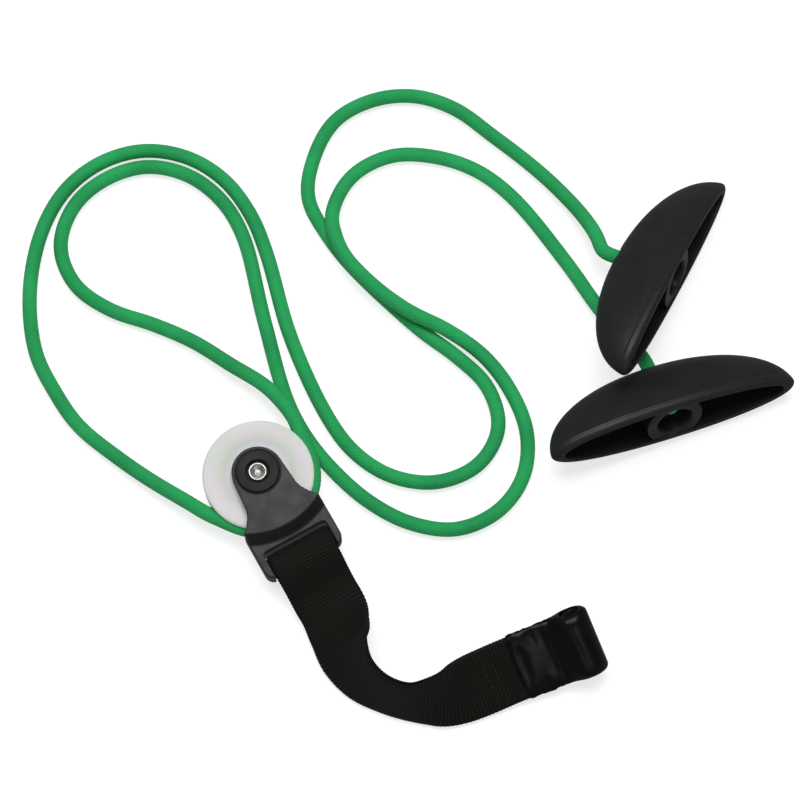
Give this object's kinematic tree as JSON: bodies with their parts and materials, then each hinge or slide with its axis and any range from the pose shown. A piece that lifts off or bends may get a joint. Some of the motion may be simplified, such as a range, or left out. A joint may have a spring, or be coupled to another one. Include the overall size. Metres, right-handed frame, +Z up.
{
  "type": "shoulder pulley",
  "caption": "Over-door shoulder exercise pulley: a grooved wheel in a moulded fork on a webbing strap with a door anchor, and a rope with a hollow handle on each end.",
  "frame": {"origin": "on the surface the part lies on, under the middle of the pulley, strap and handles taken together", "axes": "+Z up from the surface, +X from the pulley towards the handles, +Y from the strap's anchor towards the upper handle"},
  "size_m": [0.37, 0.3153, 0.0461],
  "materials": {
    "fork_nylon": "satin charcoal moulded nylon",
    "wheel_nylon": "translucent off-white nylon, smooth",
    "brass": "plain turned",
    "steel": "bright, formed head",
    "webbing": "black ribbed woven polyester",
    "thread": "black polyester thread",
    "tube_plastic": "plain black tube",
    "sleeve_vinyl": "glossy black vinyl",
    "handle_plastic": "satin black moulded plastic",
    "rope": "green braided polyester"
  },
  "bodies": {
    "pulley_block": {"pulley_fork": "fork_nylon", "axle_bushing": "brass", "axle_rivet": "steel", "rope_upper_run": "rope", "rope_wheel_wrap": "rope", "rope_lower_run": "rope", "upper_rope_neck": "rope", "lower_rope_neck": "rope", "upper_rope_knot": "rope", "lower_rope_knot": "rope", "upper_rope_tail": "rope", "lower_rope_tail": "rope"},
    "wheel": {"sheave_wheel": "wheel_nylon"},
    "strap": {"strap_webbing": "webbing", "strap_stitch_row_1": "thread", "strap_stitch_row_2": "thread", "anchor_tube": "tube_plastic", "anchor_sleeve": "sleeve_vinyl"},
    "handle_upper": {"upper_handle": "handle_plastic"},
    "handle_lower": {"lower_handle": "handle_plastic"}
  },
  "joints": [
    {"name": "wheel_spin", "type": "hinge", "parent": "pulley_block", "child": "wheel", "pos_m": [-0.1149, -0.01646, 0.0117], "axis": [0, 0, 1], "continuous": true},
    {"name": "strap_swing", "type": "hinge", "parent": "pulley_block", "child": "strap", "pos_m": [-0.0942, -0.05289, 0.0117], "axis": [-0.8695, -0.4939, 0], "range_deg": [0, 95]},
    {"name": "upper_handle_swivel", "type": "hinge", "parent": "pulley_block", "child": "handle_upper", "pos_m": [0.0853, 0.07855, 0.0235], "axis": [-0.895, 0.4066, -0.1834], "range_deg": [0, 90]},
    {"name": "lower_handle_swivel", "type": "hinge", "parent": "pulley_block", "child": "handle_lower", "pos_m": [0.0824, 0.00844, 0.0184], "axis": [0.3347, -0.8952, 0.2943], "range_deg": [0, 80]}
  ]
}
